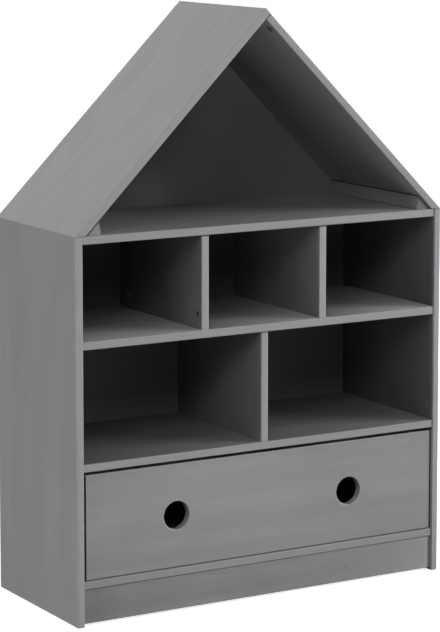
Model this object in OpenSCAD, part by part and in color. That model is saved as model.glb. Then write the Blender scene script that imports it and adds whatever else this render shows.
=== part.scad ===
// House shaped bookcase: two sides, four shelves, three dividers, a gabled roof
// with an open attic, and one inset drawer with two finger holes.
// Millimetres. The front is towards -Y, X is the width and Z is up.
// The origin is on the floor, under the middle of the bookcase.

/* [Overall] */
// Overall width over the two side panels
width = 820; // [780:5:860]
// Overall depth from the front edges to the back edges
depth = 333; // [310:1:350]
// Height of the side panels, where the roof begins
side_h = 740; // [735:1:760]

/* [Boards] */
// Thickness of the shelves, dividers, plinth and drawer front
board = 16; // [15:0.5:18]
// Thickness of the side panels, roof panels and drawer sides
panel = 15; // [14:0.5:16]
// Radius on the long edges of the side panels
side_r = 3; // [1:0.5:4]
// Radius on the long edges of shelves, dividers and roof panels
edge_r = 2; // [1:0.5:3]
// Set-back of the shelf front edges behind the side panels
shelf_back = 2; // [0:0.5:5]
// Set-back of the divider front edges behind the side panels
divider_back = 3; // [1:0.5:6]

/* [Levels] */
// Height of the underside of the bottom board
bottom_z = 71.5; // [66:0.5:80]
// Height of the top of the lower shelf, over the drawer
lower_z = 311; // [308:1:330]
// Height of the top of the middle shelf
middle_z = 542.5; // [530:0.5:560]
// Distance of the two upper dividers from the middle
divider_x = 132.5; // [120:0.5:150]

/* [Plinth] */
// Gap under the plinth board
plinth_gap = 5.5; // [2:0.5:12]
// Set-back of the plinth behind the side panels
plinth_back = 5; // [3:0.5:10]

/* [Roof] */
// Width of the foot of each roof cleat
cleat_w = 34.3; // [28:0.1:38]
// Height of the roof cleats
cleat_h = 29.3; // [24:0.1:30]
// Set-back of the cleats behind the front
cleat_back = 5; // [1:1:20]

/* [Drawer] */
// Gap between the drawer front and the parts on each side of it
drawer_side_gap = 4; // [3:0.5:6]
// Gap over the drawer front
drawer_top_gap = 5; // [3:0.5:6]
// Gap under the drawer front
drawer_low_gap = 1; // [1:0.1:3]
// Set-back of the drawer front behind the side panels
drawer_back_set = 4; // [2.5:0.5:6]
// Diameter of the two finger holes
hole_d = 55; // [45:1:65]
// Radius on the rims of the finger holes
hole_r = 2; // [1:0.5:3]
// Thickness of the back of the drawer
drawer_back_t = 12; // [10:1:16]
// Height of the drawer sides
drawer_side_h = 190; // [150:1:192]

/* [Thin panels] */
// Thickness of the back panels
back_t = 3; // [2.5:0.5:3.5]
// Thickness of the drawer bottom
drawer_bottom_t = 4; // [3:0.5:4]

/* [Hardware] */
// Distance from the joint to the middle of a cam lock
cam_reach = 28; // [24:1:34]
// Diameter of the cam lock pockets
cam_d = 15; // [15:0.5:15.5]
// Diameter of the wooden dowels
dowel_d = 8; // [6:1:8]
// Diameter of the wood screws
screw_d = 4; // [3.5:0.5:4]

/* [Hidden] */

paint = [0.36, 0.37, 0.38];
steel = [0.72, 0.72, 0.70];
beech = [0.80, 0.66, 0.47];
nylon = [0.85, 0.85, 0.83];

eps = 0.01;
hw = width / 2;                       // half the overall width
ix = hw - panel;                      // inner face of a side panel
yf = -depth / 2;                      // plane of the front edges
yb = depth / 2;                       // plane of the back edges
rebate = 4;                           // depth of the rebate for the back panels
ys = yb - rebate;                     // back edges of shelves and dividers
s2 = sqrt(2);
roof_len = hw * s2;                   // length of the roof slope on the outside
in_c = side_h + hw - panel * s2;      // x + z on the inner face of the right roof panel
top_z = side_h;
bot_top = bottom_z + board;           // top of the bottom board

// levels of the four shelves, underside
shelf_zs = [top_z - board, middle_z - board, lower_z - board, bottom_z];
// fastener rows, measured back from the front plane
cam_ys = [yf + 40, yb - 43];
shelf_dowel_ys = [yf + 110, yf + 225];
div_cam_ys = [yf + 20, yf + 143, yb - 43];
div_top_ys = [yf + 60, yf + 265];
roof_cam_ys = [yf + 20, yb - 43];
roof_dowel_ys = [yf + 80, yf + 165, yf + 240];
cleat_screw_ys = [yf + 75, yf + 168, yf + 255];
cleat_dowel_ys = [yf + 50, yf + 135, yf + 280];

// drawer
dfy = yf + drawer_back_set;           // face of the drawer front
dry = dfy + board;                    // back of the drawer front
dz0 = bot_top + drawer_low_gap;
dz1 = lower_z - board - drawer_top_gap;
dhw = ix - drawer_side_gap;           // half the width of the drawer front
box_hw = dhw - 1;                     // half the width of the drawer box
box_z = bot_top + 2.5;                // underside of the drawer sides
box_y = yb - 16.5;                    // back end of the drawer sides
groove_z = box_z + 8;
groove_d = 6;
stop_h = 12;
stop_y0 = dry + 0.5;
stop_y1 = stop_y0 + 20;
stop_x = 200;

// ---------------------------------------------------------------- outlines

// a board section: w deep, t thick, its edge at x = 0 rounded
module section_front(w, t, r) {
    translate([r, 0]) square([w - r, t]);
    translate([0, r]) square([r + eps, t - 2 * r]);
    translate([r, r]) circle(r = r, $fn = 48);
    translate([r, t - r]) circle(r = r, $fn = 48);
}

// a board section with all four corners rounded
module section_round(w, t, r) {
    translate([r, 0]) square([w - 2 * r, t]);
    translate([0, r]) square([w, t - 2 * r]);
    for (x = [r, w - r], y = [r, t - r]) translate([x, y]) circle(r = r, $fn = 48);
}

// a board lying along X, rounded on its front edge
module shelf_board(len, y0, y1, z, t, r) {
    translate([-len / 2, y0, z]) rotate([90, 0, 90]) linear_extrude(len) section_front(y1 - y0, t, r);
}

// an upright board, t wide in X, rounded on its front edge
module upright(x0, y0, y1, z0, z1, t, r) {
    translate([x0 + t, y0, z0]) rotate([0, 0, 90]) linear_extrude(z1 - z0) section_front(y1 - y0, t, r);
}

// gable outline in X and Z, grown by g
module gable_outline(g) {
    z0 = top_z - board / 2 + 0.5;
    k = in_c + 8.5;
    xs = min(ix + 6, k - top_z) + g;
    polygon([[-xs, z0 - g], [xs, z0 - g], [xs, k - xs + g * s2], [0, k + g * s2], [-xs, k - xs + g * s2]]);
}

// ---------------------------------------------------------------- hardware
// The hardware is drawn from the middle of a joint: +Z runs into the board
// that holds the cam lock, and +X points to the face that shows the lock.

module cam_lock(t) {
    difference() {
        translate([t / 2 - 12, 0, cam_reach]) rotate([0, 90, 0]) cylinder(r = cam_d / 2 - 0.1, h = 11.7, $fn = 48);
        translate([-t, -3.6, cam_reach - 9]) cube([t + 3.6, 7.2, 12.6]);
        for (a = [0, 90]) translate([t / 2 - 0.3, 0, cam_reach]) rotate([a + 35, 0, 0])
            translate([-1.8, -3.4, -0.55]) cube([4, 6.8, 1.1]);
    }
}

module cam_bolt() {
    translate([0, 0, -9.5]) cylinder(r = 2.5, h = 9.5 + eps, $fn = 32);
    cylinder(r = 3.4, h = 1.4, $fn = 32);
    cylinder(r = 2.2, h = cam_reach - 4, $fn = 32);
    translate([0, 0, cam_reach - 4 - eps]) cylinder(r = 3.1, h = 5.5, $fn = 32);
}

// pocket and edge bore in the board that holds the lock
module cam_cut(t) {
    translate([t / 2 - 12.5, 0, cam_reach]) rotate([0, 90, 0]) cylinder(r = cam_d / 2, h = 20, $fn = 48);
    translate([0, 0, -1]) cylinder(r = 4, h = cam_reach - 4, $fn = 32);
}

// bore for the thread in the other board
module bolt_cut() { translate([0, 0, -10]) cylinder(r = 2.55, h = 12, $fn = 32); }

// a dowel with one end a deep below the joint and the other b above it
module dowel(a, b) {
    r = dowel_d / 2;
    translate([0, 0, -a + 0.8]) cylinder(r = r, h = a + b - 1.6, $fn = 32);
    translate([0, 0, -a]) cylinder(r1 = r - 0.7, r2 = r, h = 0.8 + eps, $fn = 32);
    translate([0, 0, b - 0.8 - eps]) cylinder(r1 = r, r2 = r - 0.7, h = 0.8 + eps, $fn = 32);
}
module dowel_cut(a, b) { translate([0, 0, -a - 0.6]) cylinder(r = dowel_d / 2 + 0.05, h = a + b + 1.2, $fn = 32); }

// a countersunk wood screw, its head at z = 0 and its point at z = len
module screw(len) {
    r = screw_d / 2;
    difference() {
        union() {
            cylinder(r1 = 2 * r, r2 = r, h = 2.4, $fn = 32);
            cylinder(r = r, h = len - 3, $fn = 32);
            translate([0, 0, len - 3 - eps]) cylinder(r1 = r, r2 = 0.4, h = 3, $fn = 32);
        }
        for (a = [0, 90]) rotate([0, 0, a + 20]) translate([-2, -0.45, -1]) cube([4, 0.9, 2.3]);
    }
}
module screw_cut(len) {
    r = screw_d / 2 + 0.1;
    translate([0, 0, -1]) cylinder(r = r, h = len + 1.5, $fn = 32);
    translate([0, 0, -0.3]) cylinder(r1 = 2 * r + 0.3, r2 = r, h = 2.7, $fn = 32);
}

// a small panel pin, its head on z = 0 and its point at z = len
module pin(len) {
    cylinder(r = 1.8, h = 0.5, $fn = 24);
    cylinder(r = 0.8, h = len, $fn = 24);
}

// ---------------------------------------------------------------- joints

// ends of the four shelves
module at_left_end(y, z) { translate([-ix, y, z + board / 2]) rotate([0, 90, 0]) children(); }
module at_right_end(y, z) { translate([ix, y, z + board / 2]) rotate([0, -90, 0]) rotate([0, 0, 180]) children(); }
module at_shelf_ends(ys_list) { for (z = shelf_zs, y = ys_list) { at_left_end(y, z) children(); at_right_end(y, z) children(); } }
module at_one_shelf(ys_list, z) { for (y = ys_list) { at_left_end(y, z) children(); at_right_end(y, z) children(); } }

// feet and heads of the dividers: x, z of the joint, and the side that shows the locks
module at_foot(x, z, side, ys_list) { for (y = ys_list) translate([x, y, z]) rotate([0, 0, side > 0 ? 0 : 180]) children(); }
module at_head(x, z, ys_list) { for (y = ys_list) translate([x, y, z]) rotate([180, 0, 0]) children(); }

// ridge: the end of the right roof panel against the left one
module at_ridge(ys_list) {
    m = panel / 2 / s2;
    for (y = ys_list) translate([m, y, side_h + hw - 3 * m]) rotate([0, 135, 0]) children();
}

// roof cleats: screws from under the top shelf, and dowels into the roof panels
module at_cleat_screws(s) { for (y = cleat_screw_ys) translate([s * (hw - panel * s2 - cleat_w + 9.5), y, top_z - board]) children(); }
module at_cleat_dowels(s) {
    // a point on the slanted face, half way up
    x = hw - panel * s2 - cleat_h * 0.5;
    for (y = cleat_dowel_ys) translate([s * x, y, top_z + cleat_h * 0.5]) rotate([0, s * 45, 0]) children();
}

// plinth: two dowels in each end and three in the top edge
plinth_y = yf + plinth_back + board / 2;
module at_plinth_ends() {
    for (z = [bottom_z - 18, plinth_gap + 18]) {
        translate([-ix, plinth_y, z]) rotate([0, 90, 0]) children();
        translate([ix, plinth_y, z]) rotate([0, -90, 0]) children();
    }
}
module at_plinth_top() { for (x = [-250, 0, 250]) translate([x, plinth_y, bottom_z]) children(); }

// drawer: locks in the front ends of the drawer sides, screws at the back
drawer_cam_zs = [box_z + 35, box_z + drawer_side_h - 35];
module at_drawer_locks(s) {
    for (z = drawer_cam_zs) translate([s * (box_hw - panel / 2), dry, z]) rotate([-90, 0, 0]) rotate([0, 0, s < 0 ? 0 : 180]) children();
}
drawer_screw_zs = [box_z + 30, box_z + drawer_side_h - 30];
module at_drawer_screws(s) {
    for (z = drawer_screw_zs) translate([s * (box_hw - 0.3), box_y - drawer_back_t / 2, z]) rotate([0, -s * 90, 0]) children();
}
module at_glides(s) { for (y = [dry + 18, box_y - 18]) translate([s * (box_hw - panel / 2), y, box_z]) children(); }
module at_stop_screws() { for (s = [-1, 1], d = [-12, 12]) translate([s * stop_x + d, (stop_y0 + stop_y1) / 2, lower_z - board - stop_h + 0.3]) children(); }

// ---------------------------------------------------------------- carcass

module side(s) {
    difference() {
        translate([s < 0 ? -hw : ix, yf, 0]) linear_extrude(side_h) {
            translate([0, side_r]) square([panel, depth - side_r]);
            translate([side_r, 0]) square([panel - 2 * side_r, side_r + eps]);
            for (x = [side_r, panel - side_r]) translate([x, side_r]) circle(r = side_r, $fn = 48);
        }
        // rebate for the back panel
        translate([s < 0 ? -ix - 7 : ix - 1, ys, bottom_z]) cube([8, rebate + 1, side_h]);
        if (s < 0) for (z = shelf_zs) {
            for (y = cam_ys) at_left_end(y, z) bolt_cut();
            for (y = shelf_dowel_ys) at_left_end(y, z) dowel_cut(10, 1);
        }
        else for (z = shelf_zs) {
            for (y = cam_ys) at_right_end(y, z) bolt_cut();
            for (y = shelf_dowel_ys) at_right_end(y, z) dowel_cut(10, 1);
        }
        at_plinth_ends() dowel_cut(10, 1);
    }
}
module left_side() { color(paint) side(-1); }
module right_side() { color(paint) side(1); }

module plain_shelf(z) {
    difference() {
        shelf_board(2 * ix, yf + shelf_back, ys, z, board, edge_r);
        at_one_shelf(cam_ys, z) cam_cut(board);
        at_one_shelf(shelf_dowel_ys, z) dowel_cut(1, 20);
    }
}

module top_shelf() color(paint) difference() {
    plain_shelf(top_z - board);
    for (s = [-1, 1]) {
        at_head(s * divider_x, top_z - board, div_top_ys) dowel_cut(10, 1);
        at_cleat_screws(s) screw_cut(30);
    }
}

module middle_shelf() color(paint) difference() {
    plain_shelf(middle_z - board);
    for (s = [-1, 1]) at_foot(s * divider_x, middle_z, s, div_cam_ys) bolt_cut();
    at_head(0, middle_z - board, div_top_ys) dowel_cut(10, 1);
}

module lower_shelf() color(paint) difference() {
    plain_shelf(lower_z - board);
    at_foot(0, lower_z, 1, div_cam_ys) bolt_cut();
    at_stop_screws() screw_cut(24);
}

module bottom_board() color(paint) difference() {
    plain_shelf(bottom_z);
    at_plinth_top() dowel_cut(1, 10);
}

// dividers: locks at the foot, dowels at the head
module divider(x, z0, z1, side) {
    difference() {
        upright(x - board / 2, yf + divider_back, ys, z0, z1, board, edge_r);
        at_foot(x, z0, side, div_cam_ys) cam_cut(board);
        at_head(x, z1, div_top_ys) dowel_cut(1, 16);
    }
}
module upper_left_divider() { color(paint) divider(-divider_x, middle_z, top_z - board, -1); }
module upper_right_divider() { color(paint) divider(divider_x, middle_z, top_z - board, 1); }
module lower_divider() { color(paint) divider(0, lower_z, middle_z - board, 1); }

module plinth() color(paint) difference() {
    translate([-ix, yf + plinth_back, plinth_gap]) rotate([90, 0, 90]) linear_extrude(2 * ix)
        section_round(board, bottom_z - plinth_gap, 1.5);
    at_plinth_ends() dowel_cut(1, 20);
    at_plinth_top() dowel_cut(20, 1);
}

// ---------------------------------------------------------------- roof

// a roof panel of the left slope, len long, its foot cut level
module slope(len) {
    difference() {
        translate([-hw, yf, side_h]) rotate([0, 45, 0]) translate([0, 0, -panel - 5])
            linear_extrude(len + panel + 5) {
                translate([0, edge_r]) square([panel, depth - edge_r]);
                translate([edge_r, 0]) square([panel - 2 * edge_r, edge_r + eps]);
                for (x = [edge_r, panel - edge_r]) translate([x, edge_r]) circle(r = edge_r, $fn = 48);
            }
        translate([-hw - 60, yf - 1, side_h - 60]) cube([200, depth + 2, 60]);
    }
}
module gable_rebate() { translate([0, ys + 10, 0]) rotate([90, 0, 0]) linear_extrude(10) gable_outline(0.5); }

module left_roof_panel() color(paint) difference() {
    slope(roof_len);
    gable_rebate();
    at_ridge(roof_cam_ys) bolt_cut();
    at_ridge(roof_dowel_ys) dowel_cut(10, 1);
    at_cleat_dowels(-1) dowel_cut(1, 9);
}
module right_roof_panel() color(paint) difference() {
    mirror([1, 0, 0]) slope(roof_len - panel);
    gable_rebate();
    at_ridge(roof_cam_ys) cam_cut(panel);
    at_ridge(roof_dowel_ys) dowel_cut(1, 20);
    at_cleat_dowels(1) dowel_cut(1, 9);
}

module cleat(s) {
    f = hw - panel * s2;              // foot of the inner face of the roof panel
    difference() {
        translate([0, ys, 0]) rotate([90, 0, 0]) linear_extrude(ys - yf - cleat_back)
            polygon([[s * (f - cleat_w), top_z], [s * f, top_z], [s * (f - cleat_h), top_z + cleat_h]]);
        at_cleat_screws(s) screw_cut(30);
        at_cleat_dowels(s) dowel_cut(9, 1);
    }
}
module left_roof_cleat() { color(paint) cleat(-1); }
module right_roof_cleat() { color(paint) cleat(1); }

// ---------------------------------------------------------------- back

module back_panel() color(paint)
    translate([-ix - 6.5, ys, bottom_z + 0.5]) cube([2 * ix + 13, back_t, top_z - board / 2 - bottom_z - 0.5]);
module gable_panel() color(paint)
    translate([0, ys + back_t, 0]) rotate([90, 0, 0]) linear_extrude(back_t) gable_outline(0);

// pins through the back panels into the boards behind their faces
module at_back(x, z) { translate([x, ys + back_t + 0.3, z]) rotate([90, 0, 0]) children(); }
module back_panel_pins() color(steel) {
    for (z = [bottom_z + board / 2, lower_z - board / 2, middle_z - board / 2], i = [-3:3]) at_back(i * 118 + 6, z) pin(18);
    for (i = [-3:3]) at_back(i * 118 + 6, top_z - board + 3.5) pin(18);
    for (s = [-1, 1], z = [150, 225, 375, 450, 610, 680]) at_back(s * (ix + 3.2), z) pin(10);
}
module gable_pins() color(steel) {
    for (i = [-2:2]) at_back(i * 140 + 6, top_z - 3.5) pin(18);
    for (s = [-1, 1], x = [60, 140, 220, 300, 365]) at_back(s * x, in_c + 4.5 - x) pin(10);
}

// ---------------------------------------------------------------- carcass hardware

module shelf_cam_locks() { color(steel) at_shelf_ends(cam_ys) cam_lock(board); }
module shelf_cam_bolts() { color(steel) at_shelf_ends(cam_ys) cam_bolt(); }
module shelf_dowels() { color(beech) at_shelf_ends(shelf_dowel_ys) dowel(10, 20); }

module divider_cam_locks() color(steel) {
    for (s = [-1, 1]) at_foot(s * divider_x, middle_z, s, div_cam_ys) cam_lock(board);
    at_foot(0, lower_z, 1, div_cam_ys) cam_lock(board);
}
module divider_cam_bolts() color(steel) {
    for (s = [-1, 1]) at_foot(s * divider_x, middle_z, s, div_cam_ys) cam_bolt();
    at_foot(0, lower_z, 1, div_cam_ys) cam_bolt();
}
module divider_dowels() color(beech) {
    for (s = [-1, 1]) at_head(s * divider_x, top_z - board, div_top_ys) dowel(10, 16);
    at_head(0, middle_z - board, div_top_ys) dowel(10, 16);
}

module roof_cam_locks() { color(steel) at_ridge(roof_cam_ys) cam_lock(panel); }
module roof_cam_bolts() { color(steel) at_ridge(roof_cam_ys) cam_bolt(); }
module roof_dowels() { color(beech) at_ridge(roof_dowel_ys) dowel(10, 20); }

module cleat_screws() { color(steel) for (s = [-1, 1]) at_cleat_screws(s) screw(30); }
module cleat_dowels() { color(beech) for (s = [-1, 1]) at_cleat_dowels(s) dowel(9, 9); }
module plinth_dowels() color(beech) {
    at_plinth_ends() dowel(10, 20);
    at_plinth_top() mirror([0, 0, 1]) dowel(10, 20);
}

// blocks under the lower shelf: the drawer front shuts against them, and the
// drawer back runs up to them when the drawer is out
module drawer_stop_blocks() color(paint) difference() {
    for (s = [-1, 1]) translate([s * stop_x - 22, stop_y0, lower_z - board - stop_h]) cube([44, stop_y1 - stop_y0, stop_h]);
    at_stop_screws() screw_cut(24);
}
module stop_block_screws() { color(steel) at_stop_screws() screw(24); }

// ---------------------------------------------------------------- drawer

module finger_hole(x) {
    zc = (dz0 + dz1) / 2;
    translate([x, dfy, zc]) rotate([-90, 0, 0]) {
        translate([0, 0, -1]) cylinder(d = hole_d, h = board + 2, $fn = 96);
        // rounded rims, front and back
        for (k = [0, 1]) translate([0, 0, k * board]) mirror([0, 0, k])
            rotate_extrude($fn = 96) difference() {
                translate([0, -1]) square([hole_d / 2 + hole_r, hole_r + 1]);
                translate([hole_d / 2 + hole_r, hole_r]) circle(r = hole_r, $fn = 48);
                translate([hole_d / 2 + hole_r - eps, -2]) square([5, hole_r + 4]);
            }
    }
}

module drawer_front() color(paint) difference() {
    translate([-dhw, dfy, dz0]) rotate([90, 0, 90]) linear_extrude(2 * dhw) section_round(board, dz1 - dz0, edge_r);
    for (s = [-1, 1]) {
        finger_hole(s * dhw / 2);
        at_drawer_locks(s) bolt_cut();
    }
    // groove for the drawer bottom
    translate([-box_hw + panel - groove_d, dry - groove_d, groove_z]) cube([2 * (box_hw - panel + groove_d), groove_d + 1, drawer_bottom_t + 0.3]);
}

module drawer_side(s) {
    difference() {
        translate([s < 0 ? -box_hw : box_hw - panel, dry, box_z]) cube([panel, box_y - dry, drawer_side_h]);
        // groove for the drawer bottom, open at the back
        translate([s < 0 ? -box_hw + panel - groove_d : box_hw - panel - 1, dry - 1, groove_z])
            cube([groove_d + 1, box_y - dry + 2, drawer_bottom_t + 0.3]);
        at_drawer_locks(s) cam_cut(panel);
        at_drawer_screws(s) screw_cut(36);
        at_glides(s) translate([0, 0, -1]) cylinder(r = 2.05, h = 9.5, $fn = 32);
    }
}
module drawer_left_side() { color(paint) drawer_side(-1); }
module drawer_right_side() { color(paint) drawer_side(1); }

module drawer_back() color(paint) difference() {
    translate([-box_hw + panel, box_y - drawer_back_t, groove_z + drawer_bottom_t + 0.3])
        cube([2 * (box_hw - panel), drawer_back_t, lower_z - board - 5 - groove_z - drawer_bottom_t - 0.3]);
    for (s = [-1, 1]) at_drawer_screws(s) screw_cut(36);
}

module drawer_bottom() color(paint)
    translate([-box_hw + panel - groove_d + 0.5, dry - groove_d + 0.5, groove_z + 0.15])
        cube([2 * (box_hw - panel + groove_d) - 1, box_y - dry + groove_d - 1, drawer_bottom_t]);

module drawer_cam_locks() { color(steel) for (s = [-1, 1]) at_drawer_locks(s) cam_lock(panel); }
module drawer_cam_bolts() { color(steel) for (s = [-1, 1]) at_drawer_locks(s) cam_bolt(); }
module drawer_screws() { color(steel) for (s = [-1, 1]) at_drawer_screws(s) screw(36); }
module drawer_glides() color(nylon) for (s = [-1, 1]) at_glides(s) {
    translate([0, 0, -2.3]) cylinder(r = 6.5, h = 2.3, $fn = 48);
    translate([0, 0, -eps]) cylinder(r = 2, h = 8, $fn = 32);
}

// ---------------------------------------------------------------- nodes

left_side();
right_side();
top_shelf();
middle_shelf();
lower_shelf();
bottom_board();
upper_left_divider();
upper_right_divider();
lower_divider();
plinth();
left_roof_panel();
right_roof_panel();
left_roof_cleat();
right_roof_cleat();
back_panel();
gable_panel();
shelf_cam_locks();
shelf_cam_bolts();
shelf_dowels();
divider_cam_locks();
divider_cam_bolts();
divider_dowels();
roof_cam_locks();
roof_cam_bolts();
roof_dowels();
cleat_screws();
cleat_dowels();
plinth_dowels();
back_panel_pins();
gable_pins();
drawer_stop_blocks();
stop_block_screws();
drawer_front();
drawer_left_side();
drawer_right_side();
drawer_back();
drawer_bottom();
drawer_cam_locks();
drawer_cam_bolts();
drawer_screws();
drawer_glides();
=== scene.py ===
import bpy, bmesh, math
import numpy as np
from mathutils import Vector, Matrix


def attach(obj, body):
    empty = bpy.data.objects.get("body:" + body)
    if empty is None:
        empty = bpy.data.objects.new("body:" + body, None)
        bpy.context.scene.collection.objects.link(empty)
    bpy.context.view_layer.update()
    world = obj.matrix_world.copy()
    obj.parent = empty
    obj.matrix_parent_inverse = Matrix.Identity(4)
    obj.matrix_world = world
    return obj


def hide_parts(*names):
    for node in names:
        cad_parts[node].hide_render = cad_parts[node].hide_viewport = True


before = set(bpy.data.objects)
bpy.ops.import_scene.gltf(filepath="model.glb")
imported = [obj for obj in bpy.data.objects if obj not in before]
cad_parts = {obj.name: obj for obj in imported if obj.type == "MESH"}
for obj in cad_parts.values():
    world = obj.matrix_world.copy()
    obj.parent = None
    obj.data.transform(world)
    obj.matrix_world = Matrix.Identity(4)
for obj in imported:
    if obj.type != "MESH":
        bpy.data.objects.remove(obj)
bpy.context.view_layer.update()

scene = bpy.context.scene
scene.view_settings.view_transform = "Standard"
scene.view_settings.look = "None"
scene.view_settings.exposure = 0.0
scene.view_settings.gamma = 1.0

# ---------------------------------------------------------------- camera
# fitted to the straight edges in the 440 x 632 photograph
CAM_POS = (-2.5583, -4.3246, 1.3991)
CAM_YAW = 30.571
CAM_PITCH = 6.971
CAM_F = 2569.5            # focal length in pixels of the 632 pixel side
CAM_PY = 190.0            # row of the optical axis


def make_camera():
    yaw, pitch = math.radians(CAM_YAW), math.radians(CAM_PITCH)
    fw = Vector((math.sin(yaw) * math.cos(pitch), math.cos(yaw) * math.cos(pitch), -math.sin(pitch)))
    right = Vector((math.cos(yaw), -math.sin(yaw), 0.0))
    up = right.cross(fw)
    data = bpy.data.cameras.new("camera")
    cam = bpy.data.objects.new("camera", data)
    scene.collection.objects.link(cam)
    m = Matrix((right, up, -fw)).transposed().to_4x4()
    m.translation = Vector(CAM_POS)
    cam.matrix_world = m
    data.sensor_width = 36.0
    data.lens = CAM_F * 36.0 / 632.0
    data.shift_x = 0.0
    data.shift_y = (CAM_PY - 316.0) / 632.0
    data.clip_start = 0.05
    data.clip_end = 100.0
    scene.camera = cam
    return cam


make_camera()

# ---------------------------------------------------------------- light
# name, azimuth from the front (positive to the right), elevation, distance, size, power
LIGHTS = [
    ("right_wide", 60, 6, 14.0, 6.8, 3600.0),
    ("front_right", 30, 6, 14.0, 6.8, 70.0),
    ("left_wide", -100, 2, 12.0, 5.8, 1060.0),
    ("left_high", -90, 25, 3.8, 0.9, 5.0),
    ("key_side", -75, 45, 3.8, 0.9, 4.0),
    ("key_left", -60, 40, 3.8, 0.9, 7.6),
    ("key_mid", -45, 30, 3.8, 0.9, 11.6),
    ("key_front", -15, 30, 3.8, 0.9, 10.2),
    ("front_mid", -30, 30, 3.8, 2.0, 6.6),
    ("front_high", -30, 52, 3.8, 2.0, 9.0),
    ("overhead", 0, 72, 3.8, 2.0, 16.0),
    ("back_right", 135, 20, 3.8, 2.0, 60.0),
    ("back_low", 180, 20, 3.8, 2.0, 41.0),
    ("back_high", 180, 50, 3.8, 2.0, 13.7),
]


def soft_light(name, az, el, dist, size, power, aim=(0.0, 0.0, 0.55)):
    data = bpy.data.lights.new(name, "AREA")
    data.shape = "SQUARE"
    data.size = size
    data.energy = power
    ob = bpy.data.objects.new(name, data)
    scene.collection.objects.link(ob)
    a, e = math.radians(az), math.radians(el)
    d = Vector((math.sin(a) * math.cos(e), -math.cos(a) * math.cos(e), math.sin(e)))
    ob.location = Vector(aim) + d * dist
    ob.rotation_euler = (-d).to_track_quat("-Z", "Y").to_euler()
    ob.visible_camera = False
    return ob


for row in LIGHTS:
    soft_light(*row)
bpy.data.objects["left_wide"].data.shape = "RECTANGLE"
bpy.data.objects["left_wide"].data.size_y = 1.9

# light that comes back up from the pale floor in front
bounce = soft_light("floor_bounce", 0, 0, 1.0, 2.4, 9.0)
bounce.data.shape = "RECTANGLE"
bounce.data.size_y = 1.6
bounce.location = (0.0, -1.3, 0.02)
bounce.rotation_euler = (math.pi, 0.0, 0.0)

# the white studio behind: it is seen, and the soft lights do the lighting
world = bpy.data.worlds.new("studio")
scene.world = world
world.use_nodes = True
world.node_tree.nodes["Background"].inputs["Color"].default_value = (1.0, 1.0, 1.0, 1.0)
world.node_tree.nodes["Background"].inputs["Strength"].default_value = 1.0
world.cycles_visibility.diffuse = False
world.cycles_visibility.glossy = False
world.cycles_visibility.transmission = False
world.cycles_visibility.scatter = False


# ---------------------------------------------------------------- node tree helper

X, Y, Z = (1.0, 0.0, 0.0), (0.0, 1.0, 0.0), (0.0, 0.0, 1.0)
Q = math.sqrt(0.5)


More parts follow.
